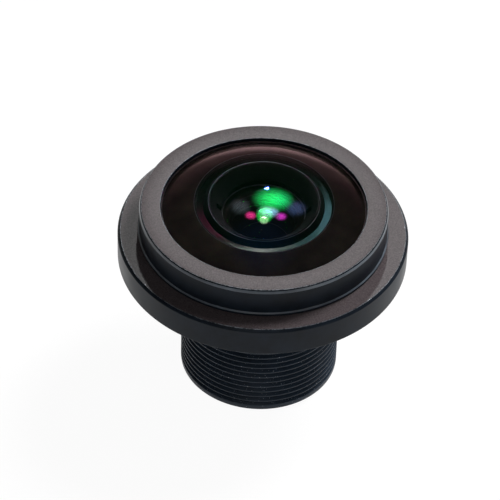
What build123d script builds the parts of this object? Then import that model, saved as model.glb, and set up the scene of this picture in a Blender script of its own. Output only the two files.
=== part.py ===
from build123d import *
import math
import os

# Fisheye lens for a 12 mm board-camera holder. It stands on its rear face with the glass up.
# The optical axis is Z, and the origin is the centre of the rear face.
# Heights are measured up from the rear face. All lengths are in millimetres.

# Barrel, outside
thread_diameter = 12.0
thread_pitch = 0.5
thread_depth = 0.3
thread_crest_width = 0.1
thread_root_width = 0.08
thread_end_length = 0.3        # from the last thread ring up to the flange
rear_bevel = 0.25
barrel_length = 10.85          # rear face to the underside of the flange
flange_diameter = 21.6
flange_thickness = 2.35
flange_front_bevel = 0.25
flange_rear_bevel = 0.1
seat_relief_width = 0.3        # shallow recess round the thread, so that a holder seats on the flange
seat_relief_depth = 0.15

# Front retaining ring
ring_height = 2.4              # flange face to the flat top of the ring
ring_diameter = 18.4
ring_top_bevel = 0.13
ring_foot_lip = 0.1            # how far the foot stands out from the wall
ring_foot_height = 0.16
ring_foot_gap = 0.05           # left open above the flange, so that the ring clamps the glass
ring_wall = 0.68               # from the outer wall in to the inner thread
ring_lip_thickness = 0.3
ring_lip_reach = 0.4           # how far the lip reaches in over the edge of the glass
window_bevel = 0.04
collar_wall = 0.47
collar_clearance = 0.3         # from the collar's end to the ring's lip
collar_bevel = 0.1

# Fits
seat_gap = 0.01                # along the axis, where one piece seats on the next
lens_fit = 0.02                # round a lens or a spacer in its bore
thread_fit = 0.03              # between two fine threads inside, drawn as plain walls
step_clearance = 0.1           # from a ring's end to the step of its bore, so that it bears on the glass
spacer_margin = 0.1            # from a lens's polished face out to the bore of a ring beside it

# Front dome lens. It fills the collar, which fills the ring.
dome_radius = 13.0
dome_shoulder = 0.1            # flat ground step that shows inside the window
dome_edge_thickness = 0.44
dome_bowl_radius = 16.0
dome_rear_land = 3.28          # flat ground face behind, from the glass's side in to the bowl
glass_bevel = 0.06

# Seal ring and light masks
seal_section = 0.8
seal_inset = 0.8               # from the side of the front glass to the middle of the section
seal_side_gap = 0.04
mask_thickness = 0.05
front_mask_margin = 0.25       # from the seal's groove in to the mask

# Inner retaining ring. Its lip rises from a flat land into the bowl of the front glass.
inner_ring_height = 0.45       # from the second lens up to the land
inner_ring_recess = 0.08       # from the seat of the front lens down to the land
inner_ring_rim_height = 0.25   # straight rim under the cone
inner_ring_cone_width = 0.81   # from the rim out to the lip
inner_ring_lip_width = 0.16    # flat top of the lip
inner_ring_lip_slope = 0.3     # how far the outer side of the lip leans in
inner_ring_land = 0.47         # from the lip's foot out to the thread
inner_ring_lip_clearance = 0.11
inner_ring_notch_width = 0.4
inner_ring_notch_reach = 0.35

# Second lens
front_group_diameter = 8.4
second_clear_diameter = 5.42
second_front_radius = 10.0
second_edge_thickness = 0.9
second_bowl_radius = 3.0
second_bowl_diameter = 4.2

# Third lens. The spacer in front of it takes up what length is left.
third_clear_diameter = 5.4
third_front_radius = 4.8
third_rear_radius = 20.0
third_edge_thickness = 1.0

# Aperture stop
stop_thickness = 0.1
stop_hole_diameter = 1.3
stop_air_gap = 0.3             # from the stop to the third lens
shelf_thickness = 0.5

# Fourth lens and cemented doublet, in the middle bore
middle_group_diameter = 6.0
middle_clear_diameter = 4.6
fourth_front_radius = 8.0
fourth_rear_radius = 5.0
fourth_edge_thickness = 0.6
air_gap = 0.1                  # between the polished faces of two lenses
doublet_front_radius = 6.0
doublet_cement_radius = 3.8
doublet_rear_radius = 5.5
doublet_front_centre = 0.5
doublet_rear_edge = 0.4
cement_gap = 0.01

# Rear lens and its ring, in the rear bore
rear_group_diameter = 7.6
rear_clear_diameter = 6.0
rear_front_radius = 7.0
rear_rear_radius = 15.0
rear_edge_thickness = 0.5
rear_ring_thickness = 0.85
rear_ring_inset = 0.75         # from the filter's seat up to the ring
rear_ring_slot_width = 0.6
rear_ring_slot_depth = 0.35

# Infrared-cut filter in its recess
filter_diameter = 8.4
filter_thickness = 0.3
filter_glue_width = 0.3        # from the filter's side out to the wall of its recess
filter_recess_depth = 0.55
adhesive_climb = 0.1           # how far the bead stands up the recess wall

cut_overrun = 1.0              # how far every cut runs past the piece


def sag(radius, reach):
    """Depth of a sphere's cap of the given radius, at a distance from the axis."""
    return radius - math.sqrt(radius ** 2 - reach ** 2)


def spun(*lines):
    """Solid of revolution about Z from the lines of a half section, in (distance, height)."""
    outline = Curve() + list(lines)
    return revolve(make_face(Plane.XZ * outline), Axis.Z)


def turned(points):
    """Solid turned about Z from the corner points (distance, height) of its half section."""
    return spun(Polyline(*points, close=True))


def washer(inner_radius, outer_radius, low, high):
    """Plain ring between two heights."""
    return turned([(inner_radius, low), (outer_radius, low), (outer_radius, high), (inner_radius, high)])


# Radii that neighbours share
thread_radius = thread_diameter / 2
root_radius = thread_radius - thread_depth
flange_radius = flange_diameter / 2
ring_radius = ring_diameter / 2
ring_bore = ring_radius - ring_wall
collar_radius = ring_bore - thread_fit
pocket_radius = collar_radius - collar_wall
dome_glass_radius = pocket_radius - lens_fit
window_radius = dome_glass_radius - ring_lip_reach
dome_reach = window_radius - dome_shoulder
seal_radius = dome_glass_radius - seal_inset
groove_inner_radius = seal_radius - seal_section / 2 - seal_side_gap
groove_outer_radius = seal_radius + seal_section / 2 + seal_side_gap
dome_bowl_reach = dome_glass_radius - dome_rear_land
front_group_radius = front_group_diameter / 2
front_bore = front_group_radius + lens_fit
middle_group_radius = middle_group_diameter / 2
middle_bore = middle_group_radius + lens_fit
second_reach = second_clear_diameter / 2
inner_ring_opening = second_reach + spacer_margin
inner_ring_lip_inner = inner_ring_opening + inner_ring_cone_width
inner_ring_lip_outer = inner_ring_lip_inner + inner_ring_lip_width
inner_ring_radius = inner_ring_lip_outer + inner_ring_lip_slope + inner_ring_land
inner_ring_bore = inner_ring_radius + thread_fit
second_bowl_reach = second_bowl_diameter / 2
third_reach = third_clear_diameter / 2
middle_reach = middle_clear_diameter / 2
rear_reach = rear_clear_diameter / 2
shelf_bore = middle_reach + spacer_margin
rear_group_radius = rear_group_diameter / 2
rear_bore = rear_group_radius + lens_fit
filter_recess_radius = filter_diameter / 2 + filter_glue_width

# Heights of the outside, from the rear face up
flange_face = barrel_length + flange_thickness
ring_top = flange_face + ring_height
ring_lip_bottom = ring_top - ring_lip_thickness
collar_top = ring_lip_bottom - collar_clearance

# Heights of the front group, from the ring's lip down
dome_shoulder_height = ring_lip_bottom - seat_gap
dome_rear = dome_shoulder_height - dome_edge_thickness
front_mask_bottom = dome_rear - seat_gap - mask_thickness
dome_seat = front_mask_bottom - seat_gap
inner_ring_top = dome_seat - inner_ring_recess
inner_ring_bottom = inner_ring_top - inner_ring_height
bowl_over_lip = sag(dome_bowl_radius, dome_bowl_reach) - sag(dome_bowl_radius, inner_ring_lip_outer)
inner_ring_lip_top = dome_rear + bowl_over_lip - inner_ring_lip_clearance
second_front = inner_ring_bottom - seat_gap
second_rear = second_front - second_edge_thickness
second_mask_bottom = second_rear - seat_gap - mask_thickness

# Heights of the rear group, from the filter's seat up
filter_seat = filter_recess_depth
rear_ring_bottom = filter_seat + rear_ring_inset
rear_ring_top = rear_ring_bottom + rear_ring_thickness
rear_lens_rear = rear_ring_top + seat_gap
rear_lens_front = rear_lens_rear + rear_edge_thickness
rear_spacer_bottom = rear_lens_front + seat_gap
rear_lens_bulge = sag(rear_front_radius, rear_reach)
doublet_rear_bulge = sag(doublet_rear_radius, middle_reach)
rear_spacer_top = rear_spacer_bottom + rear_lens_bulge + air_gap + doublet_rear_bulge
rear_mask_bottom = rear_spacer_top + seat_gap
doublet_rear = rear_mask_bottom + mask_thickness + seat_gap
doublet_joint = doublet_rear + doublet_rear_edge
doublet_cement_bulge = sag(doublet_cement_radius, middle_group_radius)
doublet_front_bulge = sag(doublet_front_radius, middle_reach)
doublet_front = doublet_joint + doublet_cement_bulge + doublet_front_centre - doublet_front_bulge
middle_spacer_bottom = doublet_front + seat_gap
fourth_rear_bulge = sag(fourth_rear_radius, middle_reach)
middle_spacer_top = middle_spacer_bottom + doublet_front_bulge + air_gap + fourth_rear_bulge
fourth_rear = middle_spacer_top + seat_gap
fourth_front = fourth_rear + fourth_edge_thickness
shelf_bottom = fourth_front + seat_gap
shelf_top = shelf_bottom + shelf_thickness
stop_bottom = shelf_top + seat_gap
stop_top = stop_bottom + stop_thickness
stop_spacer_bottom = stop_top + seat_gap
third_rear_bulge = sag(third_rear_radius, third_reach)
stop_spacer_top = stop_spacer_bottom + third_rear_bulge + stop_air_gap
third_rear = stop_spacer_top + seat_gap
third_front = third_rear + third_edge_thickness
second_spacer_bottom = third_front + seat_gap
second_spacer_top = second_mask_bottom - seat_gap


def cap_arc(radius, reach, rim_height, forward):
    """Half of a polished face, from its rim to the axis; it bulges forward or to the rear."""
    way = 1 if forward else -1
    middle = reach / 2
    middle_height = rim_height + way * (sag(radius, reach) - sag(radius, middle))
    tip_height = rim_height + way * sag(radius, reach)
    return ThreePointArc((reach, rim_height), (middle, middle_height), (0, tip_height)), tip_height


def ground_edge(outer_radius, reach, height, inward):
    """Corner points from the rim of a polished face out to the lens's side."""
    if reach + glass_bevel >= outer_radius:
        return [(reach, height)]
    bevel = [(outer_radius - glass_bevel, height), (outer_radius, height + inward * glass_bevel)]
    return [(reach, height), *bevel]


def lens(outer_radius, front_face, rear_face):
    """Lens from two polished faces, each given as (radius, reach, rim height, bulges forward)."""
    front_arc, front_tip = cap_arc(*front_face)
    rear_arc, rear_tip = cap_arc(*rear_face)
    front_edge = ground_edge(outer_radius, front_face[1], front_face[2], -1)
    rear_edge = ground_edge(outer_radius, rear_face[1], rear_face[2], 1)
    side = Polyline(*front_edge, *reversed(rear_edge))
    return spun(front_arc, side, rear_arc, Line((0, rear_tip), (0, front_tip)))


def thread_outline():
    """Corner points of the M12 thread from the rear bevel up, as rings at the pitch."""
    flank = (thread_pitch - thread_crest_width - thread_root_width) / 2
    last = barrel_length - thread_end_length
    turns = int((last - rear_bevel) / thread_pitch)
    points = [(thread_radius, rear_bevel)]
    for turn in range(turns):
        crest_end = last - (turns - turn) * thread_pitch + thread_crest_width
        points.append((thread_radius, crest_end))
        points.append((root_radius, crest_end + flank))
        points.append((root_radius, crest_end + flank + thread_root_width))
        points.append((thread_radius, crest_end + thread_pitch - thread_crest_width))
    points.append((thread_radius, last + thread_crest_width))
    points.append((root_radius, last + thread_crest_width + flank))
    return points


def main_barrel():
    """Barrel with its thread, flange and collar, bored in steps for the two lens groups."""
    outside = [
        (thread_radius - rear_bevel, 0),
        *thread_outline(),
        (root_radius, barrel_length + seat_relief_depth),
        (thread_radius + seat_relief_width, barrel_length + seat_relief_depth),
        (thread_radius + seat_relief_width, barrel_length),
        (flange_radius - flange_rear_bevel, barrel_length),
        (flange_radius, barrel_length + flange_rear_bevel),
        (flange_radius, flange_face - flange_front_bevel),
        (flange_radius - flange_front_bevel, flange_face),
        (collar_radius, flange_face),
        (collar_radius, collar_top - collar_bevel),
        (collar_radius - collar_bevel, collar_top),
    ]
    inside = [
        (pocket_radius, collar_top),
        (pocket_radius, dome_seat),
        (groove_outer_radius, dome_seat),
        (groove_outer_radius, dome_rear - seal_section),
        (groove_inner_radius, dome_rear - seal_section),
        (groove_inner_radius, dome_seat),
        (inner_ring_bore, dome_seat),
        (inner_ring_bore, inner_ring_bottom - step_clearance),
        (front_bore, inner_ring_bottom - step_clearance),
        (front_bore, shelf_top),
        (shelf_bore, shelf_top),
        (shelf_bore, shelf_bottom),
        (middle_bore, shelf_bottom),
        (middle_bore, rear_spacer_top + step_clearance),
        (rear_bore, rear_spacer_top + step_clearance),
        (rear_bore, filter_seat),
        (filter_recess_radius, filter_seat),
        (filter_recess_radius, 0),
    ]
    return turned(outside + inside)


def front_retaining_ring():
    """Cap screwed on the collar: a flat face round the window, with a small lip at its foot."""
    foot = flange_face + ring_foot_gap
    lip = ring_radius + ring_foot_lip
    return turned([
        (ring_bore, foot),
        (lip, foot),
        (lip, foot + ring_foot_height),
        (ring_radius, foot + ring_foot_height + ring_foot_lip),
        (ring_radius, ring_top - ring_top_bevel),
        (ring_radius - ring_top_bevel, ring_top),
        (window_radius + window_bevel, ring_top),
        (window_radius, ring_top - window_bevel),
        (window_radius, ring_lip_bottom),
        (ring_bore, ring_lip_bottom),
    ])


def front_dome_lens():
    """Large meniscus glass: a dome in front and a shallow bowl behind."""
    dome = (dome_radius, dome_reach, dome_shoulder_height, True)
    bowl = (dome_bowl_radius, dome_bowl_reach, dome_rear, True)
    return lens(dome_glass_radius, dome, bowl)


def front_seal_ring():
    """Rubber ring in its groove, under the edge of the front glass."""
    section = seal_section / 2 - seat_gap
    return Pos(0, 0, dome_rear - seal_section / 2) * Torus(seal_radius, section)


def front_light_mask():
    """Thin black film ring that hides the seat behind the front glass."""
    outer = groove_inner_radius - front_mask_margin
    return washer(dome_bowl_reach, outer, front_mask_bottom, front_mask_bottom + mask_thickness)


def inner_retaining_ring():
    """Threaded ring that holds the second lens: a land, a lip, a cone and two spanner notches."""
    ring = turned([
        (inner_ring_opening, inner_ring_bottom),
        (inner_ring_radius, inner_ring_bottom),
        (inner_ring_radius, inner_ring_top),
        (inner_ring_lip_outer + inner_ring_lip_slope, inner_ring_top),
        (inner_ring_lip_outer, inner_ring_lip_top),
        (inner_ring_lip_inner, inner_ring_lip_top),
        (inner_ring_opening, inner_ring_bottom + inner_ring_rim_height),
    ])
    notch_span = 2 * (inner_ring_opening + inner_ring_notch_reach)
    notches = Box(notch_span, inner_ring_notch_width, inner_ring_height + 2 * cut_overrun)
    return ring - Pos(0, 0, (inner_ring_top + inner_ring_bottom) / 2) * notches


def second_lens():
    """Meniscus glass behind the inner retaining ring, with a deep bowl behind."""
    front = (second_front_radius, second_reach, second_front, True)
    bowl = (second_bowl_radius, second_bowl_reach, second_rear, True)
    return lens(front_group_radius, front, bowl)


def second_light_mask():
    """Thin black film ring behind the second lens."""
    top = second_mask_bottom + mask_thickness
    return washer(second_bowl_reach, front_group_radius, second_mask_bottom, top)


def second_spacer_ring():
    """Tapered spacer between the second and third lenses."""
    return turned([
        (third_reach + spacer_margin, second_spacer_bottom),
        (front_group_radius, second_spacer_bottom),
        (front_group_radius, second_spacer_top),
        (second_bowl_reach + spacer_margin, second_spacer_top),
    ])


def third_lens():
    """Positive glass in front of the stop."""
    front = (third_front_radius, third_reach, third_front, True)
    rear = (third_rear_radius, third_reach, third_rear, False)
    return lens(front_group_radius, front, rear)


def stop_spacer_ring():
    """Thin spacer between the third lens and the stop."""
    return washer(third_reach + spacer_margin, front_group_radius, stop_spacer_bottom, stop_spacer_top)


def aperture_stop():
    """Thin black disc with the fixed aperture, on the barrel's shelf."""
    return washer(stop_hole_diameter / 2, front_group_radius, stop_bottom, stop_top)


def fourth_lens():
    """Biconvex glass behind the shelf."""
    front = (fourth_front_radius, middle_reach, fourth_front, True)
    rear = (fourth_rear_radius, middle_reach, fourth_rear, False)
    return lens(middle_group_radius, front, rear)


def middle_spacer_ring():
    """Spacer between the fourth lens and the doublet."""
    inner = middle_reach + spacer_margin
    return washer(inner, middle_group_radius, middle_spacer_bottom, middle_spacer_top)


def doublet_front_lens():
    """Negative half of the cemented pair."""
    front = (doublet_front_radius, middle_reach, doublet_front, True)
    joint = (doublet_cement_radius, middle_group_radius, doublet_joint + cement_gap, True)
    return lens(middle_group_radius, front, joint)


def doublet_rear_lens():
    """Positive half of the cemented pair."""
    joint = (doublet_cement_radius, middle_group_radius, doublet_joint, True)
    rear = (doublet_rear_radius, middle_reach, doublet_rear, False)
    return lens(middle_group_radius, joint, rear)


def rear_light_mask():
    """Thin black film ring behind the doublet."""
    return washer(middle_reach, middle_group_radius, rear_mask_bottom, rear_mask_bottom + mask_thickness)


def rear_spacer_ring():
    """Tapered spacer between the doublet and the rear lens."""
    return turned([
        (rear_reach + spacer_margin, rear_spacer_bottom),
        (rear_group_radius, rear_spacer_bottom),
        (rear_group_radius, rear_spacer_top),
        (middle_reach + spacer_margin, rear_spacer_top),
    ])


def rear_lens():
    """Last glass, which throws the picture on the sensor."""
    front = (rear_front_radius, rear_reach, rear_lens_front, True)
    rear = (rear_rear_radius, rear_reach, rear_lens_rear, False)
    return lens(rear_group_radius, front, rear)


def rear_retaining_ring():
    """Threaded ring behind the rear lens, with two spanner slots."""
    ring = washer(rear_reach + spacer_margin, rear_group_radius, rear_ring_bottom, rear_ring_top)
    slot_height = rear_ring_slot_depth + cut_overrun
    slots = Box(2 * (rear_group_radius + cut_overrun), rear_ring_slot_width, slot_height)
    return ring - Pos(0, 0, rear_ring_bottom + rear_ring_slot_depth - slot_height / 2) * slots


filter_front = filter_seat - seat_gap
filter_rear = filter_front - filter_thickness


def ir_cut_filter():
    """Round glass plate in the rear recess."""
    radius = filter_diameter / 2
    return turned([
        (0, filter_rear),
        (radius - glass_bevel, filter_rear),
        (radius, filter_rear + glass_bevel),
        (radius, filter_front - glass_bevel),
        (radius - glass_bevel, filter_front),
        (0, filter_front),
    ])


def filter_adhesive_ring():
    """Bead of glue between the filter and the wall of its recess."""
    inner = filter_diameter / 2 + seat_gap
    outer = filter_recess_radius - seat_gap
    return turned([
        (inner, filter_rear),
        (outer, filter_rear - adhesive_climb),
        (outer, filter_front),
        (inner, filter_front),
    ])


makers = [
    main_barrel,
    front_retaining_ring,
    front_dome_lens,
    front_seal_ring,
    front_light_mask,
    inner_retaining_ring,
    second_lens,
    second_light_mask,
    second_spacer_ring,
    third_lens,
    stop_spacer_ring,
    aperture_stop,
    fourth_lens,
    middle_spacer_ring,
    doublet_front_lens,
    doublet_rear_lens,
    rear_light_mask,
    rear_spacer_ring,
    rear_lens,
    rear_retaining_ring,
    ir_cut_filter,
    filter_adhesive_ring,
]

os.makedirs("parts", exist_ok=True)
for maker in makers:
    export_step(maker(), f"parts/{maker.__name__}.step")
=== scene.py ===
import math

import bmesh
import bpy
from mathutils import Matrix, Vector


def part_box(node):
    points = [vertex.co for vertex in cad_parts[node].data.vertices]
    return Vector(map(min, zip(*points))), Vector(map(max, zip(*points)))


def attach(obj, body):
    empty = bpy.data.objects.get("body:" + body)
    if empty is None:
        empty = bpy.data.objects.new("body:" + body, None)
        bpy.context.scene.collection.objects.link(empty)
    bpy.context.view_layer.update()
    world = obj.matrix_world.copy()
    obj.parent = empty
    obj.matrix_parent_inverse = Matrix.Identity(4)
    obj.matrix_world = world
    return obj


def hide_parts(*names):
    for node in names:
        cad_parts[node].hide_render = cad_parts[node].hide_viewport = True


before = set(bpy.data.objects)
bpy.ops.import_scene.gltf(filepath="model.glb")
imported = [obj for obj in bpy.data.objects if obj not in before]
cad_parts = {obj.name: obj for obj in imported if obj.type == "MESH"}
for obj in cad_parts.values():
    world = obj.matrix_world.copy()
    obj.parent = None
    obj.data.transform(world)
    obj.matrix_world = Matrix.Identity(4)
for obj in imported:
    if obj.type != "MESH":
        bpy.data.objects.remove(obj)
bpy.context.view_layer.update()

# Main barrel
# The body of the lens, turned from one aluminium bar: the M12 thread, the wide flange and the
# collar that the front ring screws on, bored in steps for the glass. It is blasted on its flat
# face and then anodised black, so the face is grey and grainy and the turned walls are satin.
MM = 0.001
turning_steps = 192
thread_radius = 6.0
thread_pitch = 0.5
thread_depth = 0.3
thread_crest_width = 0.1
thread_root_width = 0.08
thread_end_length = 0.3
rear_bevel = 0.25
flange_underside = 10.85
flange_face = 13.2
flange_front_bevel = 0.19
flange_rear_bevel = 0.1
seat_relief_width = 0.3
seat_relief_depth = 0.15
collar_radius = 8.49
collar_bevel = 0.1
pocket_radius = 8.02
groove_outer_radius = 7.64
groove_inner_radius = 6.76
groove_floor = 14.05
pocket_floor = 14.78
inner_ring_bore = 4.58
front_bore = 4.22
front_bore_top = 14.15
shelf_bore = 2.4
shelf_top = 8.177
shelf_bottom = 7.677
middle_bore = 3.02
rear_bore = 3.82
rear_bore_top = 4.049
filter_recess_radius = 4.5
filter_seat = 0.55
barrel_rounding = 0.03


def box_mm(node):
    """Lowest height, highest height and outer radius of a node, in millimetres."""
    low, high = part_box(node)
    return low.z / MM, high.z / MM, high.x / MM


def smooth_but_sharp(shape, sharp_angle):
    """Faces outward and smooth, with every edge that turns more than the angle kept sharp."""
    bmesh.ops.recalc_face_normals(shape, faces=shape.faces)
    for face in shape.faces:
        face.smooth = True
    for edge in shape.edges:
        edge.smooth = edge.calc_face_angle(0) < math.radians(sharp_angle)


def turned(name, outline, rounding=0.0, sharp_angle=24.0):
    """Piece turned about the optical axis from the corner points (radius, height) of its half section."""
    shape = bmesh.new()
    corners = [shape.verts.new((radius * MM, 0, height * MM)) for radius, height in outline]
    on_axis = outline[0][0] == 0 and outline[-1][0] == 0
    ends = corners[1:] if on_axis else corners[1:] + corners[:1]
    for pair in zip(corners, ends):
        shape.edges.new(pair)
    if rounding:
        bmesh.ops.bevel(shape, geom=corners, offset=rounding * MM, offset_type="OFFSET", segments=3,
                        profile=0.5, affect="VERTICES", material=-1, clamp_overlap=True)
    bmesh.ops.spin(shape, geom=shape.verts[:] + shape.edges[:], cent=(0, 0, 0), axis=(0, 0, 1),
                   dvec=(0, 0, 0), angle=2 * math.pi, steps=turning_steps, use_merge=True)
    bmesh.ops.remove_doubles(shape, verts=shape.verts, dist=1e-8)
    smooth_but_sharp(shape, sharp_angle)
    mesh = bpy.data.meshes.new(name)
    shape.to_mesh(mesh)
    shape.free()
    piece = bpy.data.objects.new(name, mesh)
    bpy.context.scene.collection.objects.link(piece)
    if rounding:
        flats_first = piece.modifiers.new("flat faces stay flat", "WEIGHTED_NORMAL")
        flats_first.keep_sharp = True
    return piece


def stand_in(piece, node):
    """The piece is shown for a CAD node, with its finish and on its body."""
    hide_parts(node)
    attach(piece, "root")


def linear(code):
    """Linear colour of an sRGB hex code."""
    parts = [int(code[i:i + 2], 16) / 255 for i in (1, 3, 5)]
    return [p / 12.92 if p <= 0.04045 else ((p + 0.055) / 1.055) ** 2.4 for p in parts] + [1.0]


def new_material(name):
    material = bpy.data.materials.new(name)
    material.use_nodes = True
    material.node_tree.nodes.clear()
    return material


def add_node(owner, kind, settings=None, links=None):
    """A node with its settings (attributes or sockets) and its links from other nodes' outputs."""
    node = owner.node_tree.nodes.new(kind)
    for key, value in (settings or {}).items():
        if isinstance(key, str) and hasattr(node, key):
            setattr(node, key, value)
        else:
            node.inputs[key].default_value = value
    for key, source in (links or {}).items():
        owner.node_tree.links.new(source, node.inputs[key])
    return node


def paint(piece, material, test):
    """Gives a material to the faces whose distance from the axis, height and normal pass a test."""
    piece.data.materials.append(material)
    index = len(piece.data.materials) - 1
    for face in piece.data.polygons:
        reach = math.hypot(face.center.x, face.center.y) / MM
        if test(reach, face.center.z / MM, face.normal):
            face.material_index = index


def at_corners(corners, rounding):
    """Test for the faces that round one of the corners (radius, height)."""
    return lambda reach, height, normal: any(math.hypot(reach - r, height - z) < rounding for r, z in corners)


def thread_outline():
    """Corner points of the thread from the rear bevel up, as rings at the pitch."""
    flank = (thread_pitch - thread_crest_width - thread_root_width) / 2
    root = thread_radius - thread_depth
    last = flange_underside - thread_end_length
    turns = int((last - rear_bevel) / thread_pitch)
    points = [(thread_radius, rear_bevel)]
    for turn in range(turns):
        crest_end = last - (turns - turn) * thread_pitch + thread_crest_width
        points.append((thread_radius, crest_end))
        points.append((root, crest_end + flank))
        points.append((root, crest_end + flank + thread_root_width))
        points.append((thread_radius, crest_end + thread_pitch - thread_crest_width))
    points.append((thread_radius, last + thread_crest_width))
    points.append((root, last + thread_crest_width + flank))
    return points


barrel_low, collar_top, flange_radius = box_mm("main_barrel")
thread_root = thread_radius - thread_depth
seat_edge = thread_radius + seat_relief_width
barrel = turned("barrel", [
    (thread_radius - rear_bevel, barrel_low),
    *thread_outline(),
    (thread_root, flange_underside + seat_relief_depth),
    (seat_edge, flange_underside + seat_relief_depth),
    (seat_edge, flange_underside),
    (flange_radius - flange_rear_bevel, flange_underside),
    (flange_radius, flange_underside + flange_rear_bevel),
    (flange_radius, flange_face - flange_front_bevel),
    (flange_radius - flange_front_bevel, flange_face),
    (collar_radius, flange_face),
    (collar_radius, collar_top - collar_bevel),
    (collar_radius - collar_bevel, collar_top),
    (pocket_radius, collar_top),
    (pocket_radius, pocket_floor),
    (groove_outer_radius, pocket_floor),
    (groove_outer_radius, groove_floor),
    (groove_inner_radius, groove_floor),
    (groove_inner_radius, pocket_floor),
    (inner_ring_bore, pocket_floor),
    (inner_ring_bore, front_bore_top),
    (front_bore, front_bore_top),
    (front_bore, shelf_top),
    (shelf_bore, shelf_top),
    (shelf_bore, shelf_bottom),
    (middle_bore, shelf_bottom),
    (middle_bore, rear_bore_top),
    (rear_bore, rear_bore_top),
    (rear_bore, filter_seat),
    (filter_recess_radius, filter_seat),
    (filter_recess_radius, barrel_low),
], rounding=barrel_rounding, sharp_angle=35)

# Black anodised aluminium, turned. The dyed oxide is nearly black and satin, and the tool leaves
# fine lines round the part. They are drawn 0.05 mm apart, coarser than real ones, to show.
tool_line_spacing = 0.05
stain_width = 2.5
turned_black = new_material("black anodised aluminium, turned")
place = add_node(turned_black, "ShaderNodeTexCoord")
parts = add_node(turned_black, "ShaderNodeSeparateXYZ", None, {"Vector": place.outputs["Object"]})
across = add_node(turned_black, "ShaderNodeVectorMath", {"operation": "MULTIPLY", 1: (1, 1, 0)},
                  {0: place.outputs["Object"]})
reach = add_node(turned_black, "ShaderNodeVectorMath", {"operation": "LENGTH"}, {0: across.outputs["Vector"]})
section = add_node(turned_black, "ShaderNodeCombineXYZ", None,
                   {"X": reach.outputs["Value"], "Z": parts.outputs["Z"]})
lines = add_node(turned_black, "ShaderNodeTexNoise",
                 {"Scale": 1 / (tool_line_spacing * MM), "Detail": 3.0, "Roughness": 0.6},
                 {"Vector": section.outputs["Vector"]})
stain = add_node(turned_black, "ShaderNodeTexNoise",
                 {"Scale": 1 / (stain_width * MM), "Detail": 4.0, "Roughness": 0.6},
                 {"Vector": place.outputs["Object"]})
shade = add_node(turned_black, "ShaderNodeValToRGB", None, {"Fac": stain.outputs["Fac"]})
shade.color_ramp.elements[0].position = 0.3
shade.color_ramp.elements[0].color = linear("#10151B")
shade.color_ramp.elements[1].position = 0.75
shade.color_ramp.elements[1].color = linear("#1A222C")
gloss = add_node(turned_black, "ShaderNodeMapRange",
                 {"From Min": 0.3, "From Max": 0.7, "To Min": 0.3, "To Max": 0.42},
                 {"Value": stain.outputs["Fac"]})
ridges = add_node(turned_black, "ShaderNodeBump", {"Strength": 0.2, "Distance": 0.002 * MM},
                  {"Height": lines.outputs["Fac"]})
skin = add_node(turned_black, "ShaderNodeBsdfPrincipled",
                {"Specular IOR Level": 0.12},
                {"Base Color": shade.outputs["Color"], "Roughness": gloss.outputs["Result"],
                 "Normal": ridges.outputs["Normal"]})
add_node(turned_black, "ShaderNodeOutputMaterial", None, {"Surface": skin.outputs["BSDF"]})

# The cut thread takes the dye a little bluer, and its crests are nicked, which leaves a few
# small pale specks, here 0.08 mm across.
thread_speck = 0.08
thread_black = new_material("black anodised aluminium, threaded")
place = add_node(thread_black, "ShaderNodeTexCoord")
stain = add_node(thread_black, "ShaderNodeTexNoise",
                 {"Scale": 1 / (stain_width * MM), "Detail": 4.0, "Roughness": 0.6},
                 {"Vector": place.outputs["Object"]})
nicks = add_node(thread_black, "ShaderNodeTexNoise",
                 {"Scale": 1 / (thread_speck * MM), "Detail": 1.0}, {"Vector": place.outputs["Object"]})
shade = add_node(thread_black, "ShaderNodeValToRGB", None, {"Fac": stain.outputs["Fac"]})
shade.color_ramp.elements[0].position = 0.3
shade.color_ramp.elements[0].color = linear("#1E2833")
shade.color_ramp.elements[1].position = 0.75
shade.color_ramp.elements[1].color = linear("#2A3542")
bare = add_node(thread_black, "ShaderNodeMapRange", {"From Min": 0.72, "From Max": 0.76},
                {"Value": nicks.outputs["Fac"]})
colour = add_node(thread_black, "ShaderNodeMix", {"data_type": "RGBA", 7: linear("#A8ACB4")},
                  {0: bare.outputs["Result"], 6: shade.outputs["Color"]})
skin = add_node(thread_black, "ShaderNodeBsdfPrincipled", {"Specular IOR Level": 0.2, "Roughness": 0.38},
                {"Base Color": colour.outputs[2], "Metallic": bare.outputs["Result"]})
add_node(thread_black, "ShaderNodeOutputMaterial", None, {"Surface": skin.outputs["BSDF"]})

# Black anodised aluminium, blasted. Grit leaves small pits that scatter the light, so the flat
# faces look grey. The grain is drawn 0.09 mm across.
grit_width = 0.09
blasted_black = new_material("black anodised aluminium, blasted")
place = add_node(blasted_black, "ShaderNodeTexCoord")
grain = add_node(blasted_black, "ShaderNodeTexNoise",
                 {"Scale": 1 / (grit_width * MM), "Detail": 2.0, "Roughness": 0.5},
                 {"Vector": place.outputs["Object"]})
shade = add_node(blasted_black, "ShaderNodeValToRGB", None, {"Fac": grain.outputs["Fac"]})
shade.color_ramp.elements[0].position = 0.3
shade.color_ramp.elements[0].color = linear("#433C3E")
shade.color_ramp.elements[1].position = 0.72
shade.color_ramp.elements[1].color = linear("#5E5658")
pits = add_node(blasted_black, "ShaderNodeBump", {"Strength": 0.4, "Distance": 0.01 * MM},
                {"Height": grain.outputs["Fac"]})
skin = add_node(blasted_black, "ShaderNodeBsdfPrincipled", {"Roughness": 0.42, "Specular IOR Level": 0.18},
                {"Base Color": shade.outputs["Color"], "Normal": pits.outputs["Normal"]})
add_node(blasted_black, "ShaderNodeOutputMaterial", None, {"Surface": skin.outputs["BSDF"]})

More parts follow.
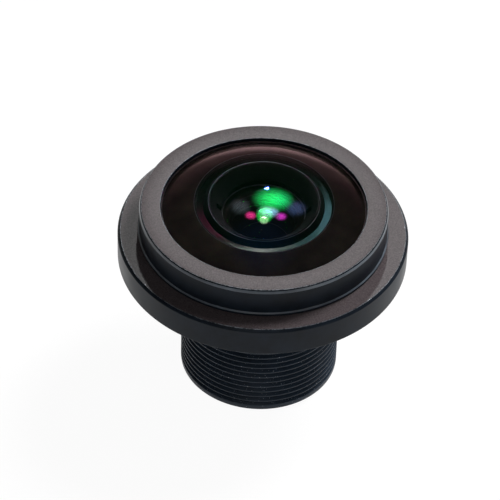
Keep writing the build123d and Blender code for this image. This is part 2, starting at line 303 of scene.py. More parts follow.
# Worn edge. Handling rubs the dye off the sharp edges, and bare aluminium shows in short bright
# dashes, about 0.3 mm long.
dash_length = 0.3
worn_edge = new_material("black anodised aluminium, worn edge")
place = add_node(worn_edge, "ShaderNodeTexCoord")
rub = add_node(worn_edge, "ShaderNodeTexNoise",
               {"Scale": 1 / (dash_length * MM), "Detail": 4.0, "Roughness": 0.7},
               {"Vector": place.outputs["Object"]})
bare = add_node(worn_edge, "ShaderNodeMapRange", {"From Min": 0.4, "From Max": 0.6},
                {"Value": rub.outputs["Fac"]})
colour = add_node(worn_edge, "ShaderNodeMix",
                  {"data_type": "RGBA", 6: linear("#23272D"), 7: linear("#9AA0A8")},
                  {0: bare.outputs["Result"]})
skin = add_node(worn_edge, "ShaderNodeBsdfPrincipled", {"Roughness": 0.35},
                {"Base Color": colour.outputs[2], "Metallic": bare.outputs["Result"]})
add_node(worn_edge, "ShaderNodeOutputMaterial", None, {"Surface": skin.outputs["BSDF"]})

# Edge with painted sheen. The bevels get a lighter blue-grey base colour than the turned wall.
# This painted sheen stands in for the smooth highlight line along them, and the lower roughness adds some
# real gloss.
painted_sheen_edge = new_material("black anodised aluminium, edge with painted sheen")
place = add_node(painted_sheen_edge, "ShaderNodeTexCoord")
rub = add_node(painted_sheen_edge, "ShaderNodeTexNoise", {"Scale": 1 / (stain_width * MM), "Detail": 3.0},
               {"Vector": place.outputs["Object"]})
shade = add_node(painted_sheen_edge, "ShaderNodeValToRGB", None, {"Fac": rub.outputs["Fac"]})
shade.color_ramp.elements[0].position = 0.3
shade.color_ramp.elements[0].color = linear("#363D45")
shade.color_ramp.elements[1].position = 0.7
shade.color_ramp.elements[1].color = linear("#5E6771")
skin = add_node(painted_sheen_edge, "ShaderNodeBsdfPrincipled", {"Roughness": 0.3},
                {"Base Color": shade.outputs["Color"]})
add_node(painted_sheen_edge, "ShaderNodeOutputMaterial", None, {"Surface": skin.outputs["BSDF"]})

# The bores are left matte, so that they throw no light back into the picture.
bore_grain = 0.1
matt_black = new_material("matte black anodised aluminium")
place = add_node(matt_black, "ShaderNodeTexCoord")
grain = add_node(matt_black, "ShaderNodeTexNoise", {"Scale": 1 / (bore_grain * MM), "Detail": 2.0},
                 {"Vector": place.outputs["Object"]})
shade = add_node(matt_black, "ShaderNodeValToRGB", None, {"Fac": grain.outputs["Fac"]})
shade.color_ramp.elements[0].color = linear("#060607")
shade.color_ramp.elements[1].color = linear("#0C0C0D")
skin = add_node(matt_black, "ShaderNodeBsdfPrincipled", {"Roughness": 0.6, "Specular IOR Level": 0.12},
                {"Base Color": shade.outputs["Color"]})
add_node(matt_black, "ShaderNodeOutputMaterial", None, {"Surface": skin.outputs["BSDF"]})

barrel.data.materials.append(turned_black)
paint(barrel, thread_black, lambda reach, height, normal:
      height < flange_underside + seat_relief_depth and thread_root - rear_bevel < reach < seat_edge)
paint(barrel, blasted_black, lambda reach, height, normal:
      normal.z > 0.99 and height > flange_face - barrel_rounding and reach > collar_radius)
paint(barrel, matt_black, lambda reach, height, normal:
      reach < pocket_radius + barrel_rounding and filter_seat < height and
      (reach < thread_root - rear_bevel or height > flange_face))
paint(barrel, worn_edge, at_corners([
    (flange_radius - flange_front_bevel, flange_face),
    (thread_radius - rear_bevel, barrel_low),
], barrel_rounding))
stand_in(barrel, "main_barrel")

# Aperture stop
# A disc of black film, punched with the small hole that sets how much light comes in. It lies on
# the shelf in the middle of the barrel, so it is far back and only dimly seen.
film_grain = 0.2
black_film = new_material("matte black polyester film")
place = add_node(black_film, "ShaderNodeTexCoord")
grain = add_node(black_film, "ShaderNodeTexNoise", {"Scale": 1 / (film_grain * MM), "Detail": 2.0},
                 {"Vector": place.outputs["Object"]})
shade = add_node(black_film, "ShaderNodeValToRGB", None, {"Fac": grain.outputs["Fac"]})
shade.color_ramp.elements[0].color = linear("#070707")
shade.color_ramp.elements[1].color = linear("#0D0C0C")
skin = add_node(black_film, "ShaderNodeBsdfPrincipled", {"Roughness": 0.55, "Specular IOR Level": 0.2},
                {"Base Color": shade.outputs["Color"]})
add_node(black_film, "ShaderNodeOutputMaterial", None, {"Surface": skin.outputs["BSDF"]})


def finish_solid(node, material):
    """A CAD solid whose shape is right stays, and gets its finish."""
    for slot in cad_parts[node].material_slots:
        slot.material = material


finish_solid("aperture_stop", black_film)

# Stop spacer and third lens
# A short black ring keeps the third lens off the stop. The lens is a polished glass with two
# domed faces and a ground side that is painted black.
glass_bevel = 0.06
arc_steps = 48
third_front_radius = 4.8
third_rear_radius = 20.0
third_reach = 2.7


def sag(radius, reach):
    """Depth of a sphere's cap of the given radius, at a distance from the axis."""
    return radius - math.sqrt(radius ** 2 - reach ** 2)


def polished_face(radius, reach, rim, way):
    """Points of a polished face from its rim in to the axis. It bulges forward where way is 1."""
    turn = math.asin(reach / radius)
    angles = [turn * (arc_steps - step) / arc_steps for step in range(arc_steps + 1)]
    depth = sag(radius, reach)
    return [(radius * math.sin(a), rim + way * (depth - radius * (1 - math.cos(a)))) for a in angles]


def lens(name, node, front, rear, hollow_rear=False, land_corners=()):
    """Lens and its rims' heights, from its node's box and its two polished faces (radius, reach)."""
    low, tip, side = box_mm(node)
    front_rim = tip - sag(*front)
    rear_rim = low if hollow_rear else low + sag(*rear)
    outline = polished_face(*front, front_rim, 1)
    outline.reverse()
    if front[1] < side:
        outline += [(side - glass_bevel, front_rim), (side, front_rim - glass_bevel)]
    if rear[1] < side:
        outline += [(side, rear_rim + glass_bevel), (side - glass_bevel, rear_rim)]
    outline += [(reach, rear_rim) for reach in land_corners]
    outline += polished_face(*rear, rear_rim, 1 if hollow_rear else -1)
    glass = turned(name, outline, sharp_angle=12)
    return glass, (front_rim, rear_rim)


melt_width = 3.0
film_start = 2.0
film_end = 7.0


def polished_glass(name, index, glint, film=1.0, rim_film=None):
    """Optical glass. The glint colours what its coating throws back, and the film is in nanometres."""
    material = new_material(name)
    place = add_node(material, "ShaderNodeTexCoord")
    melt = add_node(material, "ShaderNodeTexNoise", {"Scale": 1 / (melt_width * MM), "Detail": 2.0},
                    {"Vector": place.outputs["Object"]})
    tone = add_node(material, "ShaderNodeValToRGB", None, {"Fac": melt.outputs["Fac"]})
    tone.color_ramp.elements[0].color = linear("#FAFCFB")
    tone.color_ramp.elements[1].color = linear("#FFFFFF")
    glass = add_node(material, "ShaderNodeBsdfPrincipled",
                     {"Roughness": 0.0, "IOR": index, "Transmission Weight": 1.0,
                      "Specular Tint": linear(glint), "Thin Film Thickness": film,
                      "Thin Film IOR": 1.33},
                     {"Base Color": tone.outputs["Color"]})
    if rim_film:
        across = add_node(material, "ShaderNodeVectorMath", {"operation": "MULTIPLY", 1: (1, 1, 0)},
                          {0: place.outputs["Object"]})
        reach = add_node(material, "ShaderNodeVectorMath", {"operation": "LENGTH"},
                         {0: across.outputs["Vector"]})
        coat = add_node(material, "ShaderNodeMapRange",
                        {"From Min": film_start * MM, "From Max": film_end * MM,
                         "To Min": film, "To Max": rim_film},
                        {"Value": reach.outputs["Value"]})
        material.node_tree.links.new(coat.outputs["Result"], glass.inputs["Thin Film Thickness"])
    add_node(material, "ShaderNodeOutputMaterial", None, {"Surface": glass.outputs["BSDF"]})
    return material


# Coated crown glass. The coating throws back only a little violet-blue light.
inner_glass = polished_glass("coated crown glass", 1.6, "#332F4A")

# Black paint on ground glass, brushed on the lands and the sides. It is a very dark grey-brown,
# and the brush left it thinner in some places.
paint_grain = 0.15
brush_width = 2.0
edge_paint = new_material("black paint on ground glass")
place = add_node(edge_paint, "ShaderNodeTexCoord")
brush = add_node(edge_paint, "ShaderNodeTexNoise", {"Scale": 1 / (brush_width * MM), "Detail": 2.0},
                 {"Vector": place.outputs["Object"]})
coat = add_node(edge_paint, "ShaderNodeValToRGB", None, {"Fac": brush.outputs["Fac"]})
coat.color_ramp.elements[0].position = 0.3
coat.color_ramp.elements[0].color = linear("#3A302A")
coat.color_ramp.elements[1].position = 0.7
coat.color_ramp.elements[1].color = linear("#52453A")
speck = add_node(edge_paint, "ShaderNodeTexNoise", {"Scale": 1 / (paint_grain * MM), "Detail": 3.0},
                 {"Vector": place.outputs["Object"]})
shade = add_node(edge_paint, "ShaderNodeMix",
                 {"data_type": "RGBA", "blend_type": "MULTIPLY", 0: 0.5},
                 {6: coat.outputs["Color"], 7: speck.outputs["Color"]})
skin = add_node(edge_paint, "ShaderNodeBsdfPrincipled", {"Roughness": 0.6, "Specular IOR Level": 0.1},
                {"Base Color": shade.outputs[2]})
add_node(edge_paint, "ShaderNodeOutputMaterial", None, {"Surface": skin.outputs["BSDF"]})

finish_solid("stop_spacer_ring", matt_black)
third = lens("third_lens_glass", "third_lens",
             (third_front_radius, third_reach), (third_rear_radius, third_reach))[0]
third.data.materials.append(inner_glass)
paint(third, edge_paint, lambda reach, height, normal: reach > third_reach)
stand_in(third, "third_lens")

# Second spacer ring, light mask and second lens
# A black cone and a thin film keep stray light out between the two lenses. The second lens is a
# small high-index meniscus with a deep bowl behind, coated so that it throws back pink light.
second_front_radius = 10.0
second_reach = 2.71
second_bowl_radius = 3.0
second_bowl_reach = 2.1
finish_solid("second_spacer_ring", matt_black)
finish_solid("second_light_mask", black_film)
second, second_rims = lens("second_lens_glass", "second_lens", (second_front_radius, second_reach),
                           (second_bowl_radius, second_bowl_reach), hollow_rear=True)
land_height = second_rims[0] - glass_bevel / 2
pink_coating = polished_glass("coated lanthanum glass, front", 1.85, "#E4CFDE")
# Ground glass, thinly painted. The paint is thin on the narrow land round the second lens, which
# shows as a fine grey line.
thin_paint = new_material("ground glass, thinly painted")
place = add_node(thin_paint, "ShaderNodeTexCoord")
grain = add_node(thin_paint, "ShaderNodeTexNoise", {"Scale": 1 / (paint_grain * MM), "Detail": 2.0},
                 {"Vector": place.outputs["Object"]})
shade = add_node(thin_paint, "ShaderNodeValToRGB", None, {"Fac": grain.outputs["Fac"]})
shade.color_ramp.elements[0].color = linear("#4A474A")
shade.color_ramp.elements[1].color = linear("#767276")
skin = add_node(thin_paint, "ShaderNodeBsdfPrincipled", {"Roughness": 0.6},
                {"Base Color": shade.outputs["Color"]})
add_node(thin_paint, "ShaderNodeOutputMaterial", None, {"Surface": skin.outputs["BSDF"]})
second.data.materials.append(pink_coating)
paint(second, inner_glass, lambda reach, height, normal:
      reach < second_bowl_reach and normal.z < 0)
paint(second, edge_paint, lambda reach, height, normal:
      reach > second_reach or (reach > second_bowl_reach and height < land_height))
paint(second, thin_paint, lambda reach, height, normal:
      reach > second_reach and height > land_height)
stand_in(second, "second_lens")

# Inner retaining ring
# A thin threaded ring of black anodised aluminium that holds the second lens down, with two
# notches for the spanner. Its lip stands up into the bowl of the front glass, and the narrow
# land outside the lip is cut bright and falls off a little outward.
inner_ring_opening = 2.81
inner_ring_rim_top = 14.5
inner_ring_lip_inner = 3.62
inner_ring_lip_edge = 3.74
inner_ring_lip_outer = 3.78
inner_ring_lip_foot = 4.08
inner_ring_land = 14.7
inner_ring_land_fall = 0.067
notch_width = 0.4
notch_depth = 0.35
inner_ring_sharp_angle = 20
inner_ring_low, inner_ring_lip_top, inner_ring_side = box_mm("inner_retaining_ring")
notch_end = inner_ring_opening + notch_depth
inner_ring_slope = (inner_ring_lip_top - inner_ring_rim_top) / (inner_ring_lip_inner - inner_ring_opening)
inner_ring = turned("inner_ring", [
    (inner_ring_opening, inner_ring_low),
    (notch_end, inner_ring_low),
    (inner_ring_side, inner_ring_low),
    (inner_ring_side, inner_ring_land - inner_ring_land_fall),
    (inner_ring_lip_foot, inner_ring_land),
    (inner_ring_lip_outer, inner_ring_lip_top),
    (inner_ring_lip_edge, inner_ring_lip_top),
    (inner_ring_lip_inner, inner_ring_lip_top),
    (notch_end, inner_ring_rim_top + notch_depth * inner_ring_slope),
    (inner_ring_opening, inner_ring_rim_top),
], sharp_angle=inner_ring_sharp_angle)


def cut_notches(piece):
    """Cuts a notch on the left and right of the ring's opening and closes its walls."""
    shape = bmesh.new()
    shape.from_mesh(piece.data)
    cut = []
    for face in shape.faces:
        middle = face.calc_center_median() / MM
        if abs(middle.y) < notch_width / 2 and math.hypot(middle.x, middle.y) < notch_end - MM:
            cut.append(face)
    bmesh.ops.delete(shape, geom=cut, context="FACES")
    open_edges = [edge for edge in shape.edges if edge.is_boundary]
    for way in (-1, 1):
        side_edges = [edge for edge in open_edges if edge.verts[0].co.x * way > 0]
        for side in (-1, 1):
            corners = {vert for edge in side_edges for vert in edge.verts
                       if vert.co.y * side > notch_width * MM / 4}
            outer = sorted(corners, key=lambda vert: -abs(vert.co.y / vert.co.x))[:4]
            bmesh.ops.contextual_create(shape, geom=outer)
        rim = [edge for edge in shape.edges if edge.is_boundary and edge.verts[0].co.x * way > 0]
        bmesh.ops.contextual_create(shape, geom=rim)
    smooth_but_sharp(shape, inner_ring_sharp_angle)
    shape.to_mesh(piece.data)
    shape.free()


cut_notches(inner_ring)

# Black anodised aluminium, cut smooth. A sharp tool left the land nearly polished under its dark
# oxide, so it is black but for a bright crescent where it mirrors the lamp.
cut_grain = 0.4
bright_cut = new_material("black anodised aluminium, cut smooth")
place = add_node(bright_cut, "ShaderNodeTexCoord")
grain = add_node(bright_cut, "ShaderNodeTexNoise", {"Scale": 1 / (cut_grain * MM), "Detail": 3.0},
                 {"Vector": place.outputs["Object"]})
gloss = add_node(bright_cut, "ShaderNodeMapRange", {"To Min": 0.11, "To Max": 0.13},
                 {"Value": grain.outputs["Fac"]})
skin = add_node(bright_cut, "ShaderNodeBsdfPrincipled",
                {"Base Color": linear("#181A18"), "Metallic": 1.0},
                {"Roughness": gloss.outputs["Result"]})
add_node(bright_cut, "ShaderNodeOutputMaterial", None, {"Surface": skin.outputs["BSDF"]})
inner_ring.data.materials.append(matt_black)
paint(inner_ring, bright_cut, lambda reach, height, normal: reach > inner_ring_lip_foot and normal.z > 0.5)
# Painted sheen: the top of the lip's outer edge gets the lighter colour of its highlight line.
paint(inner_ring, painted_sheen_edge, lambda reach, height, normal:
      inner_ring_lip_edge < reach < inner_ring_lip_outer and normal.z > 0.99)
stand_in(inner_ring, "inner_retaining_ring")

# Fourth lens and middle spacer
# Behind the stop the barrel is bored from the rear. The fourth lens sits against the shelf, and
# a black spacer keeps it off the doublet.
fourth_front_radius = 8.0
fourth_rear_radius = 5.0
rear_group_reach = 2.3
fourth = lens("fourth_lens_glass", "fourth_lens",
              (fourth_front_radius, rear_group_reach), (fourth_rear_radius, rear_group_reach))[0]
fourth.data.materials.append(inner_glass)
paint(fourth, edge_paint, lambda reach, height, normal: reach > rear_group_reach)
stand_in(fourth, "fourth_lens")
finish_solid("middle_spacer_ring", matt_black)

# Doublet
# Two glasses of unlike index, ground to one joint and cemented, which takes the colour fringes
# out of the picture.
doublet_front_radius = 6.0
doublet_joint_radius = 3.8
doublet_rear_radius = 5.5
doublet_side = box_mm("doublet_front_lens")[2]
doublet_front = lens("doublet_front_glass", "doublet_front_lens", (doublet_front_radius, rear_group_reach),
                     (doublet_joint_radius, doublet_side), hollow_rear=True)[0]
doublet_front.data.materials.append(inner_glass)
paint(doublet_front, edge_paint, lambda reach, height, normal:
      reach > doublet_side - glass_bevel / 2 and abs(normal.z) < 0.5)
stand_in(doublet_front, "doublet_front_lens")
doublet_rear, doublet_rims = lens("doublet_rear_glass", "doublet_rear_lens",
                                  (doublet_joint_radius, doublet_side),
                                  (doublet_rear_radius, rear_group_reach))
doublet_rear.data.materials.append(inner_glass)
paint(doublet_rear, edge_paint, lambda reach, height, normal:
      reach > rear_group_reach and height < doublet_rims[1] + glass_bevel / 2)
stand_in(doublet_rear, "doublet_rear_lens")

# Rear mask, spacer, lens and retaining ring
# A film and a black cone stand before the rear lens, and a slotted ring screwed in from the rear
# holds the whole group down.
rear_front_radius = 7.0
rear_rear_radius = 15.0
rear_reach = 3.0
finish_solid("rear_light_mask", black_film)
finish_solid("rear_spacer_ring", matt_black)
rear_lens = lens("rear_lens_glass", "rear_lens",
                 (rear_front_radius, rear_reach), (rear_rear_radius, rear_reach))[0]
rear_lens.data.materials.append(inner_glass)
paint(rear_lens, edge_paint, lambda reach, height, normal: reach > rear_reach)
stand_in(rear_lens, "rear_lens")
finish_solid("rear_retaining_ring", matt_black)

# Infrared-cut filter
# A thin square-edged disc of glass in the rear recess. Its coating passes visible light and
# throws back the deep red, which looks pale cyan through it and rosy in its gloss.
filter_low, filter_top, filter_radius = box_mm("ir_cut_filter")
filter_plate = turned("filter_plate", [
    (0, filter_low),
    (filter_radius - glass_bevel, filter_low),
    (filter_radius, filter_low + glass_bevel),
    (filter_radius, filter_top - glass_bevel),
    (filter_radius - glass_bevel, filter_top),
    (0, filter_top),
])
filter_plate.data.materials.append(polished_glass("infrared-cut filter glass", 1.52, "#FFB8C4", film=420.0))
stand_in(filter_plate, "ir_cut_filter")

# Filter adhesive
# A bead of black adhesive, run round the filter's edge and cured glossy, with a slightly uneven
# top.
bead_wave = 1.2
adhesive = new_material("cured black adhesive")
place = add_node(adhesive, "ShaderNodeTexCoord")
wave = add_node(adhesive, "ShaderNodeTexNoise", {"Scale": 1 / (bead_wave * MM), "Detail": 2.0},
                {"Vector": place.outputs["Object"]})
shade = add_node(adhesive, "ShaderNodeValToRGB", None, {"Fac": wave.outputs["Fac"]})
shade.color_ramp.elements[0].color = linear("#101010")
shade.color_ramp.elements[1].color = linear("#1C1C1D")
swell = add_node(adhesive, "ShaderNodeBump", {"Strength": 0.3, "Distance": 0.05 * MM},
                 {"Height": wave.outputs["Fac"]})
skin = add_node(adhesive, "ShaderNodeBsdfPrincipled", {"Roughness": 0.25},
                {"Base Color": shade.outputs["Color"], "Normal": swell.outputs["Normal"]})
add_node(adhesive, "ShaderNodeOutputMaterial", None, {"Surface": skin.outputs["BSDF"]})
finish_solid("filter_adhesive_ring", adhesive)

# Seal ring and front light mask
# A rubber ring lies in the groove under the front glass and keeps water out. A thin black film
# between the seal and the bowl hides the metal under the glass.
rubber_grain = 0.3
rubber = new_material("black nitrile rubber")
place = add_node(rubber, "ShaderNodeTexCoord")
grain = add_node(rubber, "ShaderNodeTexNoise", {"Scale": 1 / (rubber_grain * MM), "Detail": 2.0},
                 {"Vector": place.outputs["Object"]})
shade = add_node(rubber, "ShaderNodeValToRGB", None, {"Fac": grain.outputs["Fac"]})
shade.color_ramp.elements[0].color = linear("#0B0B0B")
shade.color_ramp.elements[1].color = linear("#131313")
skin = add_node(rubber, "ShaderNodeBsdfPrincipled", {"Roughness": 0.7},
                {"Base Color": shade.outputs["Color"]})
add_node(rubber, "ShaderNodeOutputMaterial", None, {"Surface": skin.outputs["BSDF"]})
finish_solid("front_seal_ring", rubber)
finish_solid("front_light_mask", black_film)

# Front dome lens
# The large front glass of the fisheye, a thick meniscus with a shallow bowl behind, laid in the
# collar's pocket. Its low land is painted black, but the outermost land and the side are left bare. The front
# coating throws back violet at a glancing look, and the one in the bowl green.
dome_radius = 13.0
dome_reach = 7.5
bowl_radius = 16.0
bowl_reach = 4.72
paint_start = 4.76
paint_reach = 7.4
flint_index = 1.77
dome, dome_rims = lens("front_dome", "front_dome_lens", (dome_radius, dome_reach), (bowl_radius, bowl_reach),
                       hollow_rear=True, land_corners=(paint_reach, paint_start))
dome_shoulder = dome_rims[0]
violet_coating = polished_glass("coated flint glass, front", flint_index, "#FFE0F0",
                                film=131.0, rim_film=124.0)
green_coating = polished_glass("coated flint glass, bowl", flint_index, "#28EE70")
dome.data.materials.append(violet_coating)
paint(dome, green_coating, lambda reach, height, normal: reach < bowl_reach and normal.z < 0)
paint(dome, edge_paint, lambda reach, height, normal:
      reach > bowl_reach and height < dome_shoulder - glass_bevel / 2)

# Ground glass, bare. The side and the outermost land of the front glass are left unpainted, and
# show as a pale line at the far rim. The paint is thin at the edge of the bowl.
ground_grain = 0.1
ground_glass = new_material("ground glass, bare")
place = add_node(ground_glass, "ShaderNodeTexCoord")
grain = add_node(ground_glass, "ShaderNodeTexNoise", {"Scale": 1 / (ground_grain * MM), "Detail": 2.0},
                 {"Vector": place.outputs["Object"]})
shade = add_node(ground_glass, "ShaderNodeValToRGB", None, {"Fac": grain.outputs["Fac"]})
shade.color_ramp.elements[0].color = linear("#B09AA0")
shade.color_ramp.elements[1].color = linear("#CDB8BE")
skin = add_node(ground_glass, "ShaderNodeBsdfPrincipled", {"Roughness": 0.7},
                {"Base Color": shade.outputs["Color"]})
add_node(ground_glass, "ShaderNodeOutputMaterial", None, {"Surface": skin.outputs["BSDF"]})
paint(dome, ground_glass, lambda reach, height, normal:
      reach > paint_reach and height < dome_shoulder - glass_bevel / 2)
paint(dome, thin_paint, lambda reach, height, normal:
      bowl_reach < reach < paint_start and height < dome_shoulder - glass_bevel)
stand_in(dome, "front_dome_lens")

# Front retaining ring
# A cap of black anodised aluminium, screwed on the collar, whose lip holds the front glass down.
# Its face is blasted and its wall turned. A band under the front edge leans in a little, and it and
# the slope of the foot carry a painted sheen, a lighter blue-grey colour for their highlight lines.
# The sharp edges are rubbed bright.
ring_radius = 9.2
ring_foot_height = 0.16
ring_top_bevel = 0.07
ring_shoulder_width = 0.08
ring_shoulder_depth = 0.28
ring_bore = 8.52
window_radius = 7.6
window_bevel = 0.04
ring_lip_thickness = 0.3
ring_rounding = 0.025
ring_low, ring_top, ring_foot_radius = box_mm("front_retaining_ring")
ring_foot_top = ring_low + ring_foot_height
ring_edge = ring_radius - ring_shoulder_width - ring_top_bevel
ring = turned("front_ring", [
    (ring_bore, ring_low),
    (ring_foot_radius, ring_low),
    (ring_foot_radius, ring_foot_top),
    (ring_radius, ring_foot_top + ring_foot_radius - ring_radius),
    (ring_radius, ring_top - ring_shoulder_depth),
    (ring_radius - ring_shoulder_width, ring_top - ring_top_bevel),
    (ring_edge, ring_top),
    (window_radius + window_bevel, ring_top),
    (window_radius, ring_top - window_bevel),
    (window_radius, ring_top - ring_lip_thickness),
    (ring_bore, ring_top - ring_lip_thickness),
], rounding=ring_rounding, sharp_angle=35)
ring.data.materials.append(turned_black)
paint(ring, blasted_black, lambda reach, height, normal:
      normal.z > 0.99 and height > ring_top - ring_rounding)
paint(ring, worn_edge, at_corners([
    (ring_edge, ring_top),
    (window_radius + window_bevel, ring_top),
], ring_rounding))
# Painted sheen: the band under the front edge and the foot slope get the lighter colour of their highlight
# lines.
paint(ring, painted_sheen_edge, lambda reach, height, normal:
      (ring_radius - ring_shoulder_width < reach < ring_radius and
       ring_top - ring_shoulder_depth < height < ring_top - ring_top_bevel) or
      (ring_radius < reach < ring_foot_radius and height > ring_foot_top))
stand_in(ring, "front_retaining_ring")

# Table
# A plain white table under soft studio light, which keeps the lens's shadow. What the glass and
# metal mirror of it fades to a grey far from the lens.
table_size = 3.0
fade_start = 0.1
fade_end = 0.3
near_white = (0.95, 0.95, 0.95, 1)
far_grey = (0.28, 0.28, 0.28, 1)
white_paint = (0.8, 0.8, 0.8, 1)
shadow_grey = (0.08, 0.08, 0.08, 1)
bpy.ops.mesh.primitive_plane_add(size=table_size)
table = bpy.context.object
table.name = "table"
white = new_material("white table top")
place = add_node(white, "ShaderNodeTexCoord")
away = add_node(white, "ShaderNodeVectorMath", {"operation": "LENGTH"}, {0: place.outputs["Object"]})
far = add_node(white, "ShaderNodeMapRange", {"From Min": fade_start, "From Max": fade_end},
               {"Value": away.outputs["Value"]})
path = add_node(white, "ShaderNodeLightPath")
mirrored = add_node(white, "ShaderNodeMath", {"operation": "SUBTRACT", "use_clamp": True},
                    {0: far.outputs["Result"], 1: path.outputs["Is Camera Ray"]})
tone = add_node(white, "ShaderNodeMix", {"data_type": "RGBA", 6: near_white, 7: far_grey},
                {0: mirrored.outputs["Value"]})
shown = add_node(white, "ShaderNodeMath", {"operation": "MAXIMUM"},
                 {0: path.outputs["Is Camera Ray"], 1: path.outputs["Is Glossy Ray"]})
shown = add_node(white, "ShaderNodeMath", {"operation": "MAXIMUM"},
                 {0: shown.outputs["Value"], 1: path.outputs["Is Transmission Ray"]})
lit = add_node(white, "ShaderNodeBsdfDiffuse", {"Color": white_paint})
glow = add_node(white, "ShaderNodeEmission", None, {"Color": tone.outputs[2]})
shadow = add_node(white, "ShaderNodeBsdfDiffuse", {"Color": shadow_grey})
both = add_node(white, "ShaderNodeAddShader", None, {0: glow.outputs[0], 1: shadow.outputs[0]})
mixed = add_node(white, "ShaderNodeMixShader", None,
                 {"Fac": shown.outputs["Value"], 1: lit.outputs[0], 2: both.outputs[0]})
add_node(white, "ShaderNodeOutputMaterial", None, {"Surface": mixed.outputs[0]})
table.data.materials.append(white)

# Studio
# The camera sees a pale wall, but the glass mirrors a dark room with a pale band low down, so it
# stays dark. One lamp glints in the outer surfaces, six leave their ghosts in the inner glasses
# alone, and four soft ones shade the outside.
wall_white = (0.85, 0.85, 0.85, 1)
band_levels = ((0.15, 0.2), (0.3, 0.07), (0.42, 0.02), (0.92, 0.02))
world = bpy.data.worlds.new("studio")
bpy.context.scene.world = world
world.use_nodes = True
place = add_node(world, "ShaderNodeTexCoord")
parts = add_node(world, "ShaderNodeSeparateXYZ", None, {"Vector": place.outputs["Generated"]})
band = add_node(world, "ShaderNodeValToRGB", None, {"Fac": parts.outputs["Z"]})
band.color_ramp.elements[0].color = (0.28, 0.28, 0.28, 1)
band.color_ramp.elements[1].color = (0.2, 0.2, 0.2, 1)
for height, level in band_levels:
    band.color_ramp.elements.new(height).color = (level, level, level, 1)
path = add_node(world, "ShaderNodeLightPath")
sky = add_node(world, "ShaderNodeMix", {"data_type": "RGBA", 7: wall_white},
               {0: path.outputs["Is Camera Ray"], 6: band.outputs["Color"]})
world.node_tree.links.new(sky.outputs[2], world.node_tree.nodes["Background"].inputs["Color"])


def softbox(name, elevation, azimuth, distance, size, radiance, soft_from, colour="#FFFFFF",
            shades=True, glints=True, ghosts=True):
    """Round lamp that fades to its rim, at its angles above the table and right of the back.

    It shades matt surfaces, glints in outer surfaces, and leaves ghosts in the inner glasses.
    """
    rise = math.radians(elevation)
    turn = math.radians(azimuth)
    way = Vector((math.cos(rise) * math.sin(turn), math.cos(rise) * math.cos(turn), math.sin(rise)))
    lamp = bpy.data.lights.new(name, "AREA")
    lamp.shape = "ELLIPSE"
    lamp.size, lamp.size_y = size
    lamp.energy = radiance * math.pi * math.pi / 4 * size[0] * size[1]
    lamp.color = linear(colour)[:3]
    lamp.use_nodes = True
    spot = add_node(lamp, "ShaderNodeNewGeometry")
    middle = add_node(lamp, "ShaderNodeVectorMath", {"operation": "DISTANCE", 1: (0.5, 0.5, 0)},
                      {0: spot.outputs["Parametric"]})
    falloff = add_node(lamp, "ShaderNodeMapRange",
                       {"interpolation_type": "SMOOTHSTEP", "From Min": soft_from, "From Max": 0.5,
                        "To Min": 1.0, "To Max": 0.0}, {"Value": middle.outputs["Value"]})
    emission = lamp.node_tree.nodes["Emission"]
    lamp.node_tree.links.new(falloff.outputs["Result"], emission.inputs["Strength"])
    holder = bpy.data.objects.new(name, lamp)
    holder.location = Vector((0, 0, ring_top * MM)) + way * distance
    holder.rotation_euler = (-way).to_track_quat("-Z", "Y").to_euler()
    holder.visible_diffuse = shades
    holder.visible_glossy = glints
    holder.visible_transmission = ghosts
    bpy.context.scene.collection.objects.link(holder)


glint_only = {"shades": False, "ghosts": False}
ghost_only = {"shades": False, "glints": False}
softbox("key lamp behind the lens", elevation=45.4, azimuth=1.9, distance=0.6,
        size=(0.036, 0.04), radiance=900, soft_from=0.1, **glint_only)
softbox("green ghost in the bowl", elevation=43.4, azimuth=2.5, distance=0.6,
        size=(0.088, 0.11), radiance=10, soft_from=0.0, colour="#A8FFF0", **ghost_only)
softbox("teal ghost in the bowl", elevation=43.2, azimuth=4.6, distance=0.6,
        size=(0.05, 0.08), radiance=3, soft_from=0.0, colour="#50B0FF", **ghost_only)
softbox("pale ghost in the second lens", elevation=49.5, azimuth=0.6, distance=0.6,
        size=(0.04, 0.075), radiance=5, soft_from=0.3, colour="#C8FFC0", **ghost_only)
softbox("crescent on the inner ring", elevation=47.8, azimuth=0.5, distance=0.6,
        size=(0.023, 0.017), radiance=900, soft_from=0.1, **ghost_only)
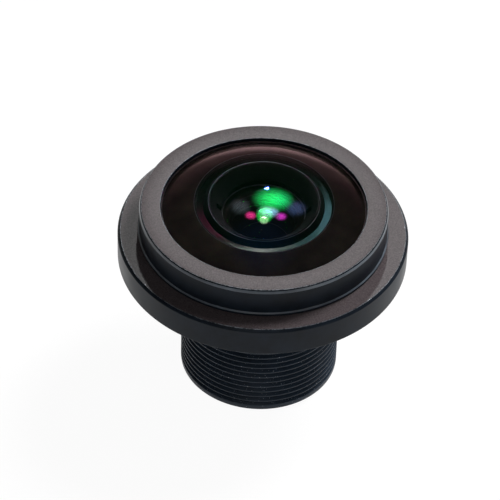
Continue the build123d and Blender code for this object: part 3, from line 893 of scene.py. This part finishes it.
softbox("left ghost in the second lens", elevation=45.9, azimuth=-6.05, distance=0.6,
        size=(0.05, 0.075), radiance=7.5, soft_from=0.1, colour="#FF489E", **ghost_only)
softbox("right ghost in the second lens", elevation=45.2, azimuth=8.9, distance=0.6,
        size=(0.05, 0.075), radiance=6.5, soft_from=0.1, colour="#F04CE8", **ghost_only)
softbox("soft lamp behind on the right", elevation=47.0, azimuth=48.0, distance=0.7,
        size=(0.4, 0.4), radiance=28, soft_from=0.2, glints=False, ghosts=False)
softbox("side lamp on the right", elevation=32.0, azimuth=84.0, distance=0.6,
        size=(0.15, 0.15), radiance=5, soft_from=0.1, ghosts=False)
softbox("low lamp before the lens", elevation=8.0, azimuth=140.0, distance=0.6,
        size=(0.12, 0.08), radiance=34, soft_from=0.1, ghosts=False)
softbox("fill lamp before the lens", elevation=50.0, azimuth=185.0, distance=0.8,
        size=(0.5, 0.5), radiance=1.4, soft_from=0.3, ghosts=False)

# Camera
# It looks down at the lens from 42.7 degrees above the table, from 206 mm away. Its place comes
# from the edges of the ring, flange and thread in the photograph.
camera_elevation = math.radians(42.717)
camera_roll = math.radians(1.902)
ring_centre_seen = Vector((1.032, -3.285, 206.133)) * MM
up_seen = Vector((
    math.sin(camera_roll) * math.cos(camera_elevation),
    -math.cos(camera_roll) * math.cos(camera_elevation),
    -math.sin(camera_elevation),
))
right_seen = Vector((math.cos(camera_roll), math.sin(camera_roll), 0))
depth_seen = up_seen.cross(right_seen)
turn_back = Matrix((right_seen, depth_seen, up_seen))
camera_place = Vector((0, 0, ring_top * MM)) - turn_back @ ring_centre_seen
right = turn_back @ Vector((1, 0, 0))
up = turn_back @ Vector((0, -1, 0))
behind = turn_back @ Vector((0, 0, -1))
camera = bpy.data.objects.new("camera", bpy.data.cameras.new("camera"))
camera.data.sensor_width = 36
camera.data.lens = 201.6
camera.data.clip_start = 0.01
camera.data.clip_end = 10
camera.matrix_world = Matrix.Translation(camera_place) @ Matrix((right, up, behind)).transposed().to_4x4()
bpy.context.scene.collection.objects.link(camera)
bpy.context.scene.camera = camera
bpy.context.scene.view_settings.view_transform = "Standard"
